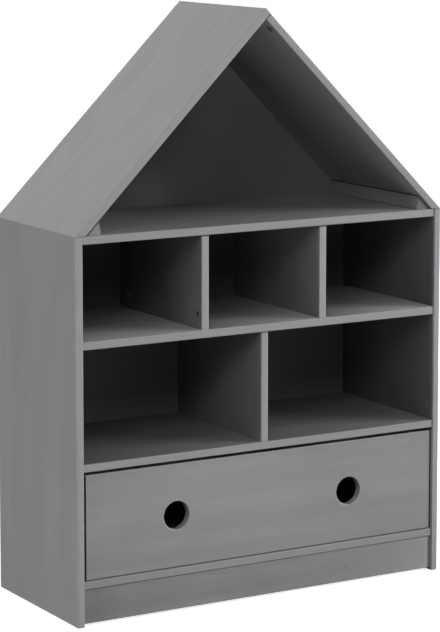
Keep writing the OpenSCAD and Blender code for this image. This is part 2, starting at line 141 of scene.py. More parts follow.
class Tree:
    """A short way to write a material's nodes. A value is a number, a tuple or a socket."""

    def __init__(self, name):
        self.mat = bpy.data.materials.new(name)
        self.mat.use_nodes = True
        self.nt = self.mat.node_tree
        self.nt.nodes.clear()
        self.out = self.nt.nodes.new("ShaderNodeOutputMaterial")
        self.bsdf = self.nt.nodes.new("ShaderNodeBsdfPrincipled")
        self.nt.links.new(self.bsdf.outputs["BSDF"], self.out.inputs["Surface"])

    def put(self, socket, value):
        if isinstance(value, bpy.types.NodeSocket):
            self.nt.links.new(value, socket)
        elif value is not None:
            socket.default_value = value

    def math(self, op, a, b=None, c=None, clamp=False):
        n = self.nt.nodes.new("ShaderNodeMath")
        n.operation = op
        n.use_clamp = clamp
        for i, v in enumerate((a, b, c)):
            self.put(n.inputs[i], v)
        return n.outputs[0]

    def vec(self, op, a, b=None):
        n = self.nt.nodes.new("ShaderNodeVectorMath")
        n.operation = op
        self.put(n.inputs[0], a)
        self.put(n.inputs[1], b)
        return n.outputs["Value"] if op in ("DOT_PRODUCT", "LENGTH", "DISTANCE") else n.outputs["Vector"]

    def xyz(self, x, y, z):
        n = self.nt.nodes.new("ShaderNodeCombineXYZ")
        for i, v in enumerate((x, y, z)):
            self.put(n.inputs[i], v)
        return n.outputs[0]

    def noise(self, v, scale=1.0, detail=2.0, rough=0.5, twist=0.0):
        n = self.nt.nodes.new("ShaderNodeTexNoise")
        n.noise_dimensions = "3D"
        self.put(n.inputs["Vector"], v)
        n.inputs["Scale"].default_value = scale
        n.inputs["Detail"].default_value = detail
        n.inputs["Roughness"].default_value = rough
        n.inputs["Distortion"].default_value = twist
        return n.outputs["Fac"]

    def dice(self, w):
        """Three random numbers for each whole number w."""
        n = self.nt.nodes.new("ShaderNodeTexWhiteNoise")
        n.noise_dimensions = "1D"
        self.put(n.inputs["W"], w)
        s = self.nt.nodes.new("ShaderNodeSeparateColor")
        self.nt.links.new(n.outputs["Color"], s.inputs[0])
        return s.outputs[0], s.outputs[1], s.outputs[2]

    def step(self, v, lo, hi, a=0.0, b=1.0):
        n = self.nt.nodes.new("ShaderNodeMapRange")
        n.interpolation_type = "SMOOTHSTEP"
        n.clamp = True
        for key, val in (("Value", v), ("From Min", lo), ("From Max", hi), ("To Min", a), ("To Max", b)):
            self.put(n.inputs[key], val)
        return n.outputs["Result"]

    def ramp(self, v, lo, hi, a, b):
        """a at lo, b at hi, in a straight line between them."""
        n = self.nt.nodes.new("ShaderNodeMapRange")
        for key, val in (("Value", v), ("From Min", lo), ("From Max", hi), ("To Min", a), ("To Max", b)):
            self.put(n.inputs[key], val)
        return n.outputs["Result"]

    def blend(self, f, a, b, mode="MIX"):
        n = self.nt.nodes.new("ShaderNodeMix")
        n.data_type = "RGBA"
        n.blend_type = mode
        n.clamp_factor = True
        self.put(n.inputs[0], f)
        self.put(n.inputs[6], tuple(a) + (1.0,) if isinstance(a, tuple) and len(a) == 3 else a)
        self.put(n.inputs[7], tuple(b) + (1.0,) if isinstance(b, tuple) and len(b) == 3 else b)
        return n.outputs[2]

    def bump(self, height, distance, strength=1.0, under=None):
        n = self.nt.nodes.new("ShaderNodeBump")
        n.inputs["Strength"].default_value = strength
        n.inputs["Distance"].default_value = distance
        self.put(n.inputs["Height"], height)
        if under is not None:
            self.put(n.inputs["Normal"], under)
        return n.outputs["Normal"]

    def place(self):
        return self.nt.nodes.new("ShaderNodeTexCoord").outputs["Object"]

    def attribute(self, name):
        n = self.nt.nodes.new("ShaderNodeAttribute")
        n.attribute_type = "GEOMETRY"
        n.attribute_name = name
        return n.outputs["Fac"]


# ---------------------------------------------------------------- materials

PAINT = (0.196, 0.196, 0.2035)      # graphite grey, with a trace of blue


def painted_pine(name, grain, across, through, seed, tone=1.0, knots=(), stave=0.071, mottle=1.0, rings=1.0, edge=1.14, fade=None,
                 inner=(), rim_fade=None):
    """Pine boards glued from staves, under a thin satin paint that lets the grain show.
    grain, across and through are the board's own directions; knots are (along, across, radius) in metres.
    edge is the lightness of the narrow front and back edges, which are sanded harder than the faces; on the right cleat
    and the stop blocks it is painted shade.
    fade is a slow change of lightness along the board, painted light and shade: (from, to, lightness there, lightness
    there).
    rim_fade is the same for the narrow front and back edges, and the last argument holds ramps of painted light and
    shade for the faces marked inside: rows of (direction, from, to, lightness, lightness), and for a part of the face
    also the middle and half of its height."""
    t = Tree(name)
    p0 = t.place()
    gx = t.vec("DOT_PRODUCT", p0, grain)
    wy = t.vec("DOT_PRODUCT", p0, across)
    tz = t.vec("DOT_PRODUCT", p0, through)
    index = t.math("FLOOR", t.math("DIVIDE", t.math("ADD", wy, 3.0 + 0.013 * seed), stave))
    r1, r2, r3 = t.dice(t.math("ADD", index, 17.0 * seed))
    x = t.math("MULTIPLY_ADD", r1, 4.0, t.math("ADD", gx, 1.37 * seed))
    y = t.math("ADD", wy, 3.0 + 0.013 * seed)
    z = t.math("ADD", tz, 0.71 * seed)

    # annual rings round a pith that runs along the stave, below or above its face
    slow = t.noise(t.xyz(t.math("MULTIPLY", x, 1.6), t.math("MULTIPLY", wy, 5.0), z), 1.0, 1.5)
    kink = t.noise(t.xyz(t.math("MULTIPLY", x, 9.0), t.math("MULTIPLY", wy, 30.0), z), 1.0, 1.0)
    centre = t.math("MULTIPLY", t.math("ADD", index, t.math("MULTIPLY_ADD", r2, 0.9, 0.05)), stave)
    dy = t.math("SUBTRACT", y, centre)
    dz = t.math("ADD", tz, t.math("MULTIPLY_ADD", r3, 0.10, 0.47))
    dz = t.math("SUBTRACT", dz, t.math("MULTIPLY", t.math("ROUND", t.math("DIVIDE", tz, 0.30)), 0.30))
    ring = t.math("SQRT", t.math("ADD", t.math("MULTIPLY", dy, dy), t.math("MULTIPLY", dz, dz)))
    ring = t.math("MULTIPLY_ADD", t.math("SUBTRACT", slow, 0.5), 0.050, ring)
    ring = t.math("MULTIPLY_ADD", t.math("SUBTRACT", kink, 0.5), 0.0035, ring)
    dark = 0.0
    for along, over, radius in knots:
        d = t.xyz(t.math("MULTIPLY", t.math("SUBTRACT", gx, along), 0.62), t.math("SUBTRACT", wy, over), 0.0)
        d = t.vec("LENGTH", d)
        near = t.step(d, radius * 4.5, radius * 0.5)
        ring = t.math("MULTIPLY_ADD", near, radius * 1.6, ring)
        ragged = t.math("MULTIPLY_ADD", t.math("SUBTRACT", kink, 0.5), radius * 0.9, d)
        core = t.step(ragged, radius * 1.15, radius * 0.35)
        halo = t.step(ragged, radius * 2.6, radius * 0.9)
        dark = t.math("ADD", dark, t.math("MULTIPLY_ADD", core, 0.16, t.math("MULTIPLY", halo, 0.05)))
    f = t.math("FRACT", t.math("DIVIDE", ring, 0.0046))
    late = t.math("MULTIPLY", t.step(f, 0.35, 0.86), t.step(f, 1.0, 0.93))

    along = t.xyz(t.math("MULTIPLY", x, 3.2), t.math("MULTIPLY", y, 120.0), t.math("MULTIPLY", z, 120.0))
    streak = t.noise(along, 1.0, 3.0, 0.6)
    fine = t.noise(t.xyz(t.math("MULTIPLY", x, 22.0), t.math("MULTIPLY", y, 700.0), t.math("MULTIPLY", z, 700.0)), 1.0, 2.0, 0.6)
    cloud = t.noise(t.xyz(t.math("MULTIPLY", x, 3.6), t.math("MULTIPLY", wy, 13.0), z), 1.0, 3.0, 0.55, 0.4)
    peel = t.noise(p0, 420.0, 2.0, 0.5)
    band = t.step(t.noise(t.xyz(t.math("MULTIPLY", x, 1.9), t.math("MULTIPLY", wy, 34.0), z), 1.0, 2.0), 0.40, 0.68)

    v = t.math("MULTIPLY_ADD", t.math("SUBTRACT", cloud, 0.5), 0.36 * mottle, 0.5)
    v = t.math("MULTIPLY_ADD", t.math("SUBTRACT", streak, 0.5), 0.17, v)
    v = t.math("MULTIPLY_ADD", t.math("SUBTRACT", fine, 0.5), 0.09, v)
    v = t.math("MULTIPLY_ADD", t.math("SUBTRACT", r1, 0.5), 0.045, v)
    v = t.math("MULTIPLY_ADD", band, 0.055 * mottle, v)
    v = t.math("SUBTRACT", v, t.math("MULTIPLY", late, 0.050 * rings))
    v = t.math("SUBTRACT", v, dark, clamp=True)
    low = tuple(c * tone * 0.70 for c in PAINT)
    high = tuple(c * tone * 1.30 for c in PAINT)
    # the rounded edges are rubbed lighter, and their eased value also holds painted light (edges that face left
    # lighter) and painted shade in the seams and gaps; the narrow edges are a little lighter than the faces
    eased, rim = t.attribute("eased"), t.attribute("rim")
    rub = t.step(t.noise(t.xyz(t.math("MULTIPLY", x, 14.0), t.math("MULTIPLY", y, 60.0), z), 1.0, 3.0), 0.30, 0.72, 0.24, 0.40)
    lift = t.math("MULTIPLY_ADD", t.math("MULTIPLY", eased, rub), edge, t.math("MULTIPLY_ADD", rim, edge / tone - 1.0, 1.0))
    # painted light and shade along the board and along its narrow edges
    if fade:
        lift = t.math("MULTIPLY", lift, t.ramp(gx, *fade))
    if rim_fade:
        lift = t.math("MULTIPLY", lift, t.math("MULTIPLY_ADD", t.ramp(gx, *rim_fade), rim, 1.0))
    # painted light and shade on the faces inside: darker depths, shadow borders and lit strips
    inside = t.attribute("inside") if inner else None
    for direction, lo, hi, a, b, *window in inner:
        there = t.ramp(t.vec("DOT_PRODUCT", p0, direction), lo, hi, a - 1.0, b - 1.0)
        if window:
            there = t.math("MULTIPLY", there, t.math("COMPARE", t.vec("DOT_PRODUCT", p0, Z), *window))
        lift = t.math("MULTIPLY", lift, t.math("MULTIPLY_ADD", there, inside, 1.0))
    lift = t.math("MAXIMUM", lift, 0.06)
    t.put(t.bsdf.inputs["Base Color"], t.vec("MULTIPLY", t.blend(v, low, high), t.xyz(lift, lift, lift)))

    rough = t.math("MULTIPLY_ADD", t.math("SUBTRACT", streak, 0.5), 0.18, 0.50)
    rough = t.math("MULTIPLY_ADD", late, 0.05, rough)
    rough = t.math("MULTIPLY_ADD", t.math("SUBTRACT", cloud, 0.5), 0.12, rough)
    rough = t.math("MULTIPLY_ADD", eased, -0.06, rough)
    t.put(t.bsdf.inputs["Roughness"], rough)
    t.bsdf.inputs["Specular IOR Level"].default_value = 0.32

    h = t.math("MULTIPLY", late, 0.42)
    h = t.math("MULTIPLY_ADD", streak, 0.55, h)
    h = t.math("MULTIPLY_ADD", fine, 0.30, h)
    h = t.math("MULTIPLY_ADD", peel, 0.30, h)
    t.put(t.bsdf.inputs["Normal"], t.bump(h, 0.00011, 0.75))
    return t.mat


def painted_hardboard(name, tone=1.0, ramps=()):
    """Thin hard fibreboard: fine fibres under grey paint, and the print of a wire screen on its back face."""
    t = Tree(name)
    p = t.place()
    n = t.nt.nodes.new("ShaderNodeNewGeometry")
    back = t.step(t.vec("DOT_PRODUCT", n.outputs["Normal"], Y), 0.4, 0.6)
    fibre = t.noise(p, 620.0, 4.0, 0.65, 0.8)
    cloud = t.noise(p, 5.5, 3.0, 0.5, 0.3)
    sx = t.math("SINE", t.math("MULTIPLY", t.vec("DOT_PRODUCT", p, X), 2 * math.pi / 0.0016))
    sz = t.math("SINE", t.math("MULTIPLY", t.vec("DOT_PRODUCT", p, Z), 2 * math.pi / 0.0016))
    screen = t.math("MULTIPLY", t.math("MULTIPLY", sx, sz), back)
    v = t.math("MULTIPLY_ADD", t.math("SUBTRACT", cloud, 0.5), 0.30, 0.5)
    v = t.math("MULTIPLY_ADD", t.math("SUBTRACT", fibre, 0.5), 0.16, v)
    v = t.math("MULTIPLY_ADD", screen, 0.05, v, clamp=True)
    low = tuple(c * tone * 0.74 for c in PAINT)
    high = tuple(c * tone * 1.26 for c in PAINT)
    lift = 1.0
    for direction, lo, hi, a, b in ramps:
        lift = t.math("MULTIPLY", lift, t.ramp(t.vec("DOT_PRODUCT", p, direction), lo, hi, a, b))
    if ramps:
        # painted light and shade on the front; the back face has one even tone
        lift = t.math("ADD", t.math("MULTIPLY", lift, t.math("SUBTRACT", 1.0, back)), t.math("MULTIPLY", back, 0.80 / tone))
    t.put(t.bsdf.inputs["Base Color"], t.vec("MULTIPLY", t.blend(v, low, high), t.xyz(lift, lift, lift)))
    t.put(t.bsdf.inputs["Roughness"], t.math("MULTIPLY_ADD", t.math("SUBTRACT", fibre, 0.5), 0.2, 0.62))
    t.bsdf.inputs["Specular IOR Level"].default_value = 0.25
    h = t.math("MULTIPLY_ADD", screen, 0.5, t.math("MULTIPLY", fibre, 0.5))
    t.put(t.bsdf.inputs["Normal"], t.bump(h, 0.00010, 0.7))
    return t.mat


def zinc(name, base=(0.60, 0.60, 0.59), rough=0.36, dull=0.5):
    """Die cast or plated zinc, with a faint cloud of oxide and fine marks from handling."""
    t = Tree(name)
    p = t.place()
    cloud = t.noise(p, 260.0, 3.0, 0.6)
    marks = t.noise(p, 1900.0, 2.0, 0.7)
    v = t.math("MULTIPLY_ADD", t.math("SUBTRACT", cloud, 0.5), dull, 0.5, clamp=True)
    colour = t.blend(v, tuple(c * 0.78 for c in base), tuple(min(1.0, c * 1.18) for c in base))
    wear, recess_shade = t.attribute("wear"), t.attribute("recess_shade")
    colour = t.blend(t.math("MULTIPLY", wear, t.step(marks, 0.38, 0.56)), colour, (0.86, 0.86, 0.84))
    # painted shade, near black, in the slot, the groove and on the side
    colour = t.blend(t.math("MULTIPLY", recess_shade, 0.85), colour, (0.05, 0.05, 0.05))
    t.put(t.bsdf.inputs["Base Color"], colour)
    t.put(t.bsdf.inputs["Roughness"], t.math("MULTIPLY_ADD", t.math("SUBTRACT", cloud, 0.5), 0.25, t.math("MULTIPLY_ADD", recess_shade, 0.2, rough)))
    t.put(t.bsdf.inputs["Metallic"], t.math("MULTIPLY_ADD", wear, -0.75, 1.0))      # the scratched rings scatter the light
    t.put(t.bsdf.inputs["Normal"], t.bump(t.math("ADD", marks, t.math("MULTIPLY", cloud, 0.6)), 0.00004, 0.6))
    return t.mat


def beech(name):
    t = Tree(name)
    p = t.place()
    fleck = t.step(t.noise(p, 900.0, 2.0, 0.6), 0.52, 0.72)
    cloud = t.noise(p, 60.0, 3.0, 0.5)
    v = t.math("MULTIPLY_ADD", t.math("SUBTRACT", cloud, 0.5), 0.9, t.math("MULTIPLY_ADD", fleck, -0.25, 0.55), clamp=True)
    t.put(t.bsdf.inputs["Base Color"], t.blend(v, (0.42, 0.26, 0.13), (0.68, 0.49, 0.29)))
    t.put(t.bsdf.inputs["Roughness"], t.math("MULTIPLY_ADD", fleck, 0.1, 0.6))
    t.put(t.bsdf.inputs["Normal"], t.bump(t.math("ADD", cloud, fleck), 0.0001, 0.5))
    return t.mat


def nylon(name):
    t = Tree(name)
    p = t.place()
    cloud = t.noise(p, 180.0, 3.0, 0.5)
    t.put(t.bsdf.inputs["Base Color"], t.blend(cloud, (0.66, 0.66, 0.63), (0.80, 0.80, 0.78)))
    t.put(t.bsdf.inputs["Roughness"], t.math("MULTIPLY_ADD", cloud, 0.15, 0.34))
    t.put(t.bsdf.inputs["Normal"], t.bump(t.noise(p, 1500.0, 2.0), 0.00004, 0.5))
    return t.mat


# ---------------------------------------------------------------- meshes

def anywhere(mid, a, b):
    return True


def outer_edges(bm, test, least=50.0):
    """Sharp edges on the outside of the board: both faces lie on its convex outline."""
    bm.faces.ensure_lookup_table()
    bm.normal_update()
    co = np.array([tuple(v.co) for v in bm.verts])
    seen = {}

    def outside(f):
        if f not in seen:
            n = np.array(tuple(f.normal))
            seen[f] = float(((co - np.array(tuple(f.verts[0].co))) @ n).max()) < 8e-6
        return seen[f]

    found = []
    for e in bm.edges:
        if len(e.link_faces) != 2:
            continue
        a, b = e.link_faces
        if a.normal.length < 0.5 or b.normal.length < 0.5 or a.normal.angle(b.normal) < math.radians(least):
            continue
        if test((e.verts[0].co + e.verts[1].co) / 2, a.normal, b.normal) and outside(a) and outside(b):
            found.append(e)
    return found


def rub_and_light_left(c, n):
    """How much an eased edge is lightened: rubbed lighter, with painted light on the edges that face left and painted
    shade on those that face right.
    """
    return 1.0 if n.x < -0.05 else -0.5 if n.x > 0.2 else 0.05


def side_rub_light_shade(c, n):
    # painted shade: dark in the seam under the roof
    return -1.6 if n.z > 0.15 and n.y < -0.1 and c.z > 0.7 else rub_and_light_left(c, n)


def shelf_rub_light_shade(c, n):
    # painted shade also where the ends of the shelves meet the sides
    return -1.2 if abs(n.x) > 0.15 and n.y < -0.1 and abs(c.x) > 0.38 else rub_and_light_left(c, n)


def lower_shelf_rub_light_shade(c, n):
    # painted shade over the drawer, on the shelf's lower front edge
    return -2.3 if n.z < -0.15 and n.y < -0.1 and c.y < -0.15 else shelf_rub_light_shade(c, n)


def divider_rub_light_shade(c, n):
    # painted shade in the seam on the upper front edge, under the shelf above; painted light on the front edge that
    # faces right
    if n.z > 0.2 and n.y < -0.1:
        return -2.4
    return 0.7 if n.x > 0.2 and n.y < -0.1 else rub_and_light_left(c, n)


def roof_rub_light_shade(c, n):
    # painted shade under the foot of the roof panels, and painted light on the front edges that face left
    if n.z < -0.15 and n.y < -0.1 and abs(c.x) > 0.37:
        return -1.6
    return 0.62 if n.x < 0 and n.y < -0.1 else 0.05


def right_roof_rub_light_shade(c, n):
    # painted shade in the joint at the ridge
    return -2.4 if n.x < -0.3 and n.z > 0.3 and c.x < 0.02 else roof_rub_light_shade(c, n)


def left_cleat_rub_and_shade(c, n):
    # painted shade in the groove between cleat and roof
    return -2.9 if n.z > 0.1 and n.y < -0.1 else 0.1


def right_cleat_rub_and_shade(c, n):
    # painted shade along the upper and lower edges of the inner face, darkest on the front edge of the slope
    if n.x < -0.1 and abs(n.z) > 0.2 and abs(n.y) < 0.3:
        return -2.6 if n.z > 0 else -2.0
    return -4.8 if n.z > 0.1 and n.y < -0.1 else 0.1


def drawer_rub_light_shade(c, n):
    # painted shade: the ends and the upper edge of the drawer front are darkened, so that the gaps round the drawer
    # look dark
    if abs(n.x) > 0.6 and abs(c.x) > 0.38:
        return -2.8
    if n.x < -0.1 and c.x < -0.38:
        return -2.2
    return -2.0 if n.z > 0.98 else rub_and_light_left(c, n)


def plinth_rub_and_shade(c, n):
    # painted shade in the seam under the bottom board
    return -1.5 if n.z > 0.15 and c.z > 0.066 else 0.3


def flag_eased(bm, holes=(), rims=False, rub_light_shade=rub_and_light_left, inward=(), small=0.003):
    """Face attribute eased: how much lighter or darker the rounded outer edges and the inside of the holes are: rubbed
    lighter, with painted light and painted shade.
    Face attribute rim: 1 on the narrow front and back edges, where rims is set.
    Face attribute inside: 1 on the faces that look along one of the inward directions, which take the ramps of painted
    light and shade."""
    bm.normal_update()
    lay = bm.faces.layers.float.get("eased") or bm.faces.layers.float.new("eased")
    rim = bm.faces.layers.float.get("rim") or bm.faces.layers.float.new("rim")
    ins = bm.faces.layers.float.get("inside") or bm.faces.layers.float.new("inside")
    for f in bm.faces:
        f[rim] = 1.0 if rims and abs(f.normal.y) > 0.9 else 0.0
        f[ins] = 1.0 if any(f.normal.dot(Vector(d)) > 0.95 for d in inward) else 0.0
    co = np.array([tuple(v.co) for v in bm.verts])
    areas, total = {}, 0.0
    for f in bm.faces:
        k = tuple(round(c, 2) + 0.0 for c in f.normal)
        areas[k] = areas.get(k, 0.0) + f.calc_area()
        total += f.calc_area()
    for f in bm.faces:
        k = tuple(round(c, 2) + 0.0 for c in f.normal)
        v = 0.0
        if areas[k] < small * total:
            n = np.array(tuple(f.normal))
            if float(((co - np.array(tuple(f.verts[0].co))) @ n).max()) < (1.2e-4 if small < 0.01 else 6e-4):
                v = rub_light_shade(f.calc_center_median(), f.normal)
        c = f.calc_center_median()
        for hx, hz, r in holes:
            if math.hypot(c.x - hx, c.z - hz) < r and abs(f.normal.y) < 0.995:
                # painted light: the hole walls are lightened, those that face left much more
                v = 1.4 if f.normal.x < -0.2 else 0.4
        f[lay] = v


def finish_mesh(me, smooth=40.0):
    me.polygons.foreach_set("use_smooth", [True] * len(me.polygons))
    me.set_sharp_from_angle(angle=math.radians(smooth))
    me.update()


def show(me, name, mat, body, nodes=(), smooth=40.0):
    """Puts a mesh in the scene as a piece of the object."""
    finish_mesh(me, smooth)
    me.materials.clear()
    me.materials.append(mat)
    ob = bpy.data.objects.new(name, me)
    scene.collection.objects.link(ob)
    m = ob.modifiers.new("face_normals", "WEIGHTED_NORMAL")
    m.mode = "FACE_AREA"
    m.weight = 90
    m.keep_sharp = True
    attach(ob, body)
    if nodes:
        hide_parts(*nodes)
    return ob


def board(node, mat, body, eases, holes=(), rims=False, rub_light_shade=rub_and_light_left, inward=(), small=0.003):
    """The CAD board's own shape, with its outer edges eased as a sander leaves them.
    eases are (radius in mm, segments, test), the widest first."""
    bm = bmesh.new()
    bm.from_mesh(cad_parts[node].data)
    bmesh.ops.remove_doubles(bm, verts=bm.verts, dist=2e-6)
    bmesh.ops.dissolve_limit(bm, angle_limit=math.radians(0.4), verts=bm.verts, edges=bm.edges, use_dissolve_boundaries=False)
    for radius, seg, test in eases:
        edges = outer_edges(bm, test)
        if edges:
            bmesh.ops.bevel(bm, geom=edges, offset=radius * 0.001, offset_type="OFFSET", segments=seg,
                            profile=0.5, affect="EDGES", clamp_overlap=False, loop_slide=True)
    bmesh.ops.dissolve_degenerate(bm, dist=1e-6, edges=bm.edges)
    flag_eased(bm, holes, rims, rub_light_shade, inward, small)
    me = bpy.data.meshes.new(node + "_board")
    bm.to_mesh(me)
    bm.free()
    return show(me, node + "_board", mat, body, (node,))


def lathe(profile, n=48):
    """A solid of revolution about +X from (radius, x) points in mm, first and last on the axis."""
    bm = bmesh.new()
    rings = []
    for r, x in profile:
        if r < 1e-6:
            rings.append([bm.verts.new((x * 0.001, 0, 0))])
        else:
            rings.append([bm.verts.new((x * 0.001, r * 0.001 * math.cos(2 * math.pi * i / n), r * 0.001 * math.sin(2 * math.pi * i / n))) for i in range(n)])
    for a, b in zip(rings, rings[1:]):
        for i in range(n):
            j = (i + 1) % n
            loop = [a[i % len(a)], a[j % len(a)], b[j % len(b)], b[i % len(b)]]
            loop = [v for k, v in enumerate(loop) if v not in loop[:k]]
            bm.faces.new(loop)
    bmesh.ops.recalc_face_normals(bm, faces=bm.faces)
    return bm


def temp_object(bm, name):
    me = bpy.data.meshes.new(name)
    bm.to_mesh(me)
    bm.free()
    ob = bpy.data.objects.new(name, me)
    scene.collection.objects.link(ob)
    return ob


def cut(ob, tools):
    """Cuts the tools out of ob and returns the new mesh. The tools are removed."""
    for tool in tools:
        m = ob.modifiers.new("cut", "BOOLEAN")
        m.operation = "DIFFERENCE"
        m.solver = "EXACT"
        m.object = tool
    bpy.context.view_layer.update()
    me = bpy.data.meshes.new_from_object(ob.evaluated_get(bpy.context.evaluated_depsgraph_get()))
    for o in (ob, *tools):
        data = o.data
        bpy.data.objects.remove(o)
        bpy.data.meshes.remove(data)
    return me


def box_bm(size, at=(0, 0, 0), turn=0.0):
    """A box in mm, turned about X."""
    bm = bmesh.new()
    bmesh.ops.create_cube(bm, size=1.0)
    m = Matrix.Rotation(turn, 4, "X") @ Matrix.Translation(Vector(at) * 0.001) @ Matrix.Diagonal((*(s * 0.001 for s in size), 1.0))
    bmesh.ops.transform(bm, matrix=m, verts=bm.verts)
    return bm


def cam_lock_mesh():
    """A 15 mm cam: its outer face is at x = -0.3 mm, with a chamfered rim, a ring groove, a cross slot and an arrow."""
    body = temp_object(lathe([(0, -0.55), (2.95, -0.55), (3.10, -0.80), (3.55, -0.85), (3.80, -0.45), (4.10, -0.36), (6.25, -0.32),
                              (6.75, -0.42), (7.15, -0.80), (7.33, -1.30), (7.35, -11.4), (6.9, -12.0), (0, -12.0)]), "cam_body")
    tools = [temp_object(box_bm((5.0, 5.2, 1.05), turn=a), "cam_tool") for a in (0.0, math.pi / 2)]
    bm = bmesh.new()
    tri = [(4.55, -0.75), (4.55, 0.75), (5.95, 0.0)]
    top = [bm.verts.new((0.001, y * 0.001, z * 0.001)) for y, z in tri]
    low = [bm.verts.new((-0.0009, y * 0.001, z * 0.001)) for y, z in tri]
    bm.faces.new(top)
    bm.faces.new(low[::-1])
    for i in range(3):
        j = (i + 1) % 3
        bm.faces.new((top[i], low[i], low[j], top[j]))
    bmesh.ops.recalc_face_normals(bm, faces=bm.faces)
    tools.append(temp_object(bm, "cam_arrow"))
    me = cut(body, tools)
    # the raised rings are rubbed bright, and painted shade darkens the slot, the groove and the side
    wear = me.attributes.new("wear", "FLOAT", "FACE")
    recess_shade = me.attributes.new("recess_shade", "FLOAT", "FACE")
    for p in me.polygons:
        x, r = p.center.x * 1000, math.hypot(p.center.y, p.center.z) * 1000
        wear.data[p.index].value = 1.0 if x > -0.62 and (3.6 < r < 4.2 or 6.2 < r < 6.9) else 0.0
        recess_shade.data[p.index].value = 1.0 if x < -0.62 and r < 6.1 or r > 7.1 else 0.0
    return me


def place_many(source, places, name):
    """One mesh with a copy of source at each (point in mm, face normal, turn)."""
    bm = bmesh.new()
    for at, out, turn in places:
        xa = Vector(out).normalized()
        ya = Vector((0, 1, 0)) if abs(xa.y) < 0.9 else Vector((0, 0, 1))
        za = xa.cross(ya)
        m = Matrix((xa, ya, za)).transposed().to_4x4() @ Matrix.Rotation(turn, 4, "X")
        m.translation = Vector(at) * 0.001
        part = source.copy()
        part.transform(m)
        bm.from_mesh(part)
        bpy.data.meshes.remove(part)
    me = bpy.data.meshes.new(name)
    bm.to_mesh(me)
    bm.free()
    return me


def make_floor():
    """A plain pale floor, a little brighter far from the object, so that it runs out into the white behind."""
    bm = bmesh.new()
    bmesh.ops.create_circle(bm, cap_ends=True, segments=96, radius=12.0)
    me = bpy.data.meshes.new("floor")
    bm.to_mesh(me)
    bm.free()
    ob = bpy.data.objects.new("floor", me)
    scene.collection.objects.link(ob)
    t = Tree("floor_pale")
    p = t.place()
    far = t.step(t.vec("LENGTH", p), 0.7, 2.6)
    grain = t.noise(p, 3.0, 3.0)
    t.put(t.bsdf.inputs["Base Color"], t.blend(grain, (0.50, 0.50, 0.505), (0.54, 0.54, 0.545)))
    t.put(t.bsdf.inputs["Roughness"], t.math("MULTIPLY_ADD", grain, 0.1, 0.75))
    t.bsdf.inputs["Specular IOR Level"].default_value = 0.2
    t.bsdf.inputs["Emission Color"].default_value = (1.0, 1.0, 1.0, 1.0)
    t.put(t.bsdf.inputs["Emission Strength"], t.math("MULTIPLY_ADD", far, 0.22, 0.80))
    me.materials.append(t.mat)
    ob.visible_diffuse = False
    ob.visible_glossy = False
    return ob


make_floor()

# ---------------------------------------------------------------- the boards

